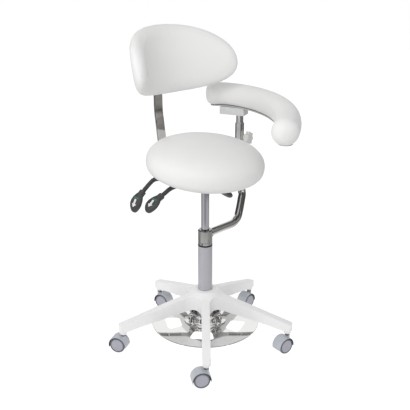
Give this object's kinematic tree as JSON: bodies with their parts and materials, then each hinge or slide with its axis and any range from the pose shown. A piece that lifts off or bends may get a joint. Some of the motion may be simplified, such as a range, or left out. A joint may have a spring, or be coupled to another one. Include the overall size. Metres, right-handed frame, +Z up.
{
  "type": "clinic stool with backrest and torso arm",
  "caption": "Round clinic stool with a wrap-round backrest, a swinging padded torso arm, a tilting foot disc under the gas column, side levers and a caster star base.",
  "frame": {"origin": "on the floor, under the middle of the stool's bounding box; the gas column stands a few millimetres from it", "axes": "+Z up; -Y towards the viewer of the picture, +X to the viewer's right; the seat faces between -Y and +X"},
  "size_m": [0.6477, 0.6723, 1.0894],
  "materials": {
    "upholstery": "satin",
    "white_nylon": "satin",
    "chrome": "polished",
    "steel": "satin",
    "grey_paint": "satin",
    "alloy": "satin",
    "caster_grey": "satin",
    "tyre": "matte",
    "black": "matte",
    "black_steel": "matte",
    "charcoal": "matte",
    "pale_knob": "satin",
    "plywood": "matte",
    "board": "matte"
  },
  "bodies": {
    "base": {"base_star": "white_nylon", "column_tube": "grey_paint", "guide_bush": "black", "thrust_bearing": "steel", "caster_front_stem": "steel", "caster_right_stem": "steel", "caster_rear_right_stem": "steel", "caster_rear_left_stem": "steel", "caster_left_stem": "steel"},
    "caster_front": {"caster_front_hood": "caster_grey", "caster_front_axle": "steel"},
    "caster_front_roller_a": {"caster_front_wheel_a": "tyre"},
    "caster_front_roller_b": {"caster_front_wheel_b": "tyre"},
    "caster_right": {"caster_right_hood": "caster_grey", "caster_right_axle": "steel"},
    "caster_right_roller_a": {"caster_right_wheel_a": "tyre"},
    "caster_right_roller_b": {"caster_right_wheel_b": "tyre"},
    "caster_rear_right": {"caster_rear_right_hood": "caster_grey", "caster_rear_right_axle": "steel"},
    "caster_rear_right_roller_a": {"caster_rear_right_wheel_a": "tyre"},
    "caster_rear_right_roller_b": {"caster_rear_right_wheel_b": "tyre"},
    "caster_rear_left": {"caster_rear_left_hood": "caster_grey", "caster_rear_left_axle": "steel"},
    "caster_rear_left_roller_a": {"caster_rear_left_wheel_a": "tyre"},
    "caster_rear_left_roller_b": {"caster_rear_left_wheel_b": "tyre"},
    "caster_left": {"caster_left_hood": "caster_grey", "caster_left_axle": "steel"},
    "caster_left_roller_a": {"caster_left_wheel_a": "tyre"},
    "caster_left_roller_b": {"caster_left_wheel_b": "tyre"},
    "foot_ring": {"pivot_ring": "steel"},
    "foot_plate": {"foot_hub": "chrome", "foot_disc": "chrome"},
    "release_pin": {"release_plunger": "steel"},
    "spindle": {"piston_rod": "steel"},
    "carriage": {"gas_cylinder": "chrome", "lock_collar": "steel", "mechanism_housing": "black_steel", "tilt_pin": "steel"},
    "arm": {"swing_collar": "alloy", "arm_tube": "chrome", "post_socket": "chrome"},
    "clamp_knob": {"star_knob": "pale_knob"},
    "arm_upright": {"arm_post": "chrome"},
    "arm_rest": {"arm_bracket": "alloy", "arm_pad_board": "board", "arm_pad": "upholstery"},
    "seat": {"seat_plate": "steel", "seat_board": "plywood", "seat_cushion": "upholstery"},
    "back_frame": {"back_carrier": "steel", "back_bar": "chrome"},
    "backrest": {"back_clamp": "black", "back_shell": "white_nylon", "back_cushion": "upholstery"},
    "back_lever": {"back_lever_shaft": "black_steel", "back_lever_paddle": "charcoal"},
    "tilt_lever": {"tilt_lever_shaft": "black_steel", "tilt_lever_paddle": "charcoal"},
    "lift_lever": {"lift_lever_shaft": "black_steel", "lift_lever_paddle": "charcoal"}
  },
  "joints": [
    {"name": "caster_front_swivel", "type": "hinge", "parent": "base", "child": "caster_front", "pos_m": [0.01763, -0.30467, 0], "axis": [0, 0, 1], "continuous": true},
    {"name": "caster_front_roll_a", "type": "hinge", "parent": "caster_front", "child": "caster_front_roller_a", "pos_m": [0.00002, -0.30842, 0.0275], "axis": [0.2079, -0.9781, 0], "continuous": true},
    {"name": "caster_front_roll_b", "type": "hinge", "parent": "caster_front", "child": "caster_front_roller_b", "pos_m": [0.00002, -0.30842, 0.0275], "axis": [0.2079, -0.9781, 0], "continuous": true},
    {"name": "caster_right_swivel", "type": "hinge", "parent": "base", "child": "caster_right", "pos_m": [0.30021, -0.09366, 0], "axis": [0, 0, 1], "continuous": true},
    {"name": "caster_right_roll_a", "type": "hinge", "parent": "caster_right", "child": "caster_right_roller_a", "pos_m": [0.28564, -0.10424, 0.0275], "axis": [0.5878, -0.809, 0], "continuous": true},
    {"name": "caster_right_roll_b", "type": "hinge", "parent": "caster_right", "child": "caster_right_roller_b", "pos_m": [0.28564, -0.10424, 0.0275], "axis": [0.5878, -0.809, 0], "continuous": true},
    {"name": "caster_rear_right_swivel", "type": "hinge", "parent": "base", "child": "caster_rear_right", "pos_m": [0.18684, 0.24029, 0], "axis": [0, 0, 1], "continuous": true},
    {"name": "caster_rear_right_roll_a", "type": "hinge", "parent": "caster_rear_right", "child": "caster_rear_right_roller_a", "pos_m": [0.1748, 0.22692, 0.0275], "axis": [0.7431, -0.6691, 0], "continuous": true},
    {"name": "caster_rear_right_roll_b", "type": "hinge", "parent": "caster_rear_right", "child": "caster_rear_right_roller_b", "pos_m": [0.1748, 0.22692, 0.0275], "axis": [0.7431, -0.6691, 0], "continuous": true},
    {"name": "caster_rear_left_swivel", "type": "hinge", "parent": "base", "child": "caster_rear_left", "pos_m": [-0.1658, 0.23568, 0], "axis": [0, 0, 1], "continuous": true},
    {"name": "caster_rear_left_roll_a", "type": "hinge", "parent": "caster_rear_left", "child": "caster_rear_left_roller_a", "pos_m": [-0.15021, 0.22668, 0.0275], "axis": [0.5, 0.866, 0], "continuous": true},
    {"name": "caster_rear_left_roll_b", "type": "hinge", "parent": "caster_rear_left", "child": "caster_rear_left_roller_b", "pos_m": [-0.15021, 0.22668, 0.0275], "axis": [0.5, 0.866, 0], "continuous": true},
    {"name": "caster_left_swivel", "type": "hinge", "parent": "base", "child": "caster_left", "pos_m": [-0.27038, -0.10113, 0], "axis": [0, 0, 1], "continuous": true},
    {"name": "caster_left_roll_a", "type": "hinge", "parent": "caster_left", "child": "caster_left_roller_a", "pos_m": [-0.2875, -0.09557, 0.0275], "axis": [-0.309, -0.9511, 0], "continuous": true},
    {"name": "caster_left_roll_b", "type": "hinge", "parent": "caster_left", "child": "caster_left_roller_b", "pos_m": [-0.2875, -0.09557, 0.0275], "axis": [-0.309, -0.9511, 0], "continuous": true},
    {"name": "foot_tilt_sideways", "type": "hinge", "parent": "base", "child": "foot_ring", "pos_m": [0.0137, -0.0047, 0.094], "axis": [1, 0, 0], "range_deg": [-3, 3], "stiffness_Nm_per_rad": 60},
    {"name": "foot_tilt_forwards", "type": "hinge", "parent": "foot_ring", "child": "foot_plate", "pos_m": [0.0137, -0.0047, 0.094], "axis": [0, 1, 0], "range_deg": [-3, 3], "stiffness_Nm_per_rad": 60},
    {"name": "release_press", "type": "slide", "parent": "foot_plate", "child": "release_pin", "axis": [0, 0, 1], "range_m": [0, 0.004], "stiffness_N_per_m": 200},
    {"name": "seat_swivel", "type": "hinge", "parent": "base", "child": "spindle", "pos_m": [0.0137, -0.0047, 0.1106], "axis": [0, 0, 1], "continuous": true},
    {"name": "seat_height", "type": "slide", "parent": "spindle", "child": "carriage", "axis": [0, 0, 1], "range_m": [0, 0.14]},
    {"name": "arm_swing", "type": "hinge", "parent": "carriage", "child": "arm", "pos_m": [0.0137, -0.0047, 0.3769], "axis": [0, 0, 1], "range_deg": [-90, 0]},
    {"name": "knob_turn", "type": "hinge", "parent": "arm", "child": "clamp_knob", "pos_m": [0.1392, 0.2573, 0.68], "axis": [0.866, -0.5, 0], "range_deg": [0, 180]},
    {"name": "arm_height", "type": "slide", "parent": "arm", "child": "arm_upright", "axis": [0, 0, 1], "range_m": [-0.02, 0.06]},
    {"name": "pad_swivel", "type": "hinge", "parent": "arm_upright", "child": "arm_rest", "pos_m": [0.1392, 0.2573, 0.763], "axis": [0, 0, 1], "range_deg": [-10, 2]},
    {"name": "seat_tilt", "type": "hinge", "parent": "carriage", "child": "seat", "pos_m": [-0.02979, 0.0436, 0.578], "axis": [-0.7431, -0.6691, 0], "range_deg": [0, 6]},
    {"name": "back_tilt", "type": "hinge", "parent": "carriage", "child": "back_frame", "pos_m": [-0.02979, 0.0436, 0.578], "axis": [-0.7431, -0.6691, 0], "range_deg": [-4, 8]},
    {"name": "back_height", "type": "slide", "parent": "back_frame", "child": "backrest", "axis": [-0.1505, 0.1672, 0.9744], "range_m": [-0.02, 0.06]},
    {"name": "back_lever_pull", "type": "hinge", "parent": "carriage", "child": "back_lever", "pos_m": [-0.08933, 0.0371, 0.581], "axis": [-0.6691, 0.7431, 0], "range_deg": [0, 4]},
    {"name": "tilt_lever_pull", "type": "hinge", "parent": "carriage", "child": "tilt_lever", "pos_m": [-0.04249, -0.01493, 0.581], "axis": [-0.6691, 0.7431, 0], "range_deg": [0, 4]},
    {"name": "lift_lever_pull", "type": "hinge", "parent": "carriage", "child": "lift_lever", "pos_m": [0.02974, 0.05011, 0.581], "axis": [0.6691, -0.7431, 0], "range_deg": [0, 4]}
  ]
}
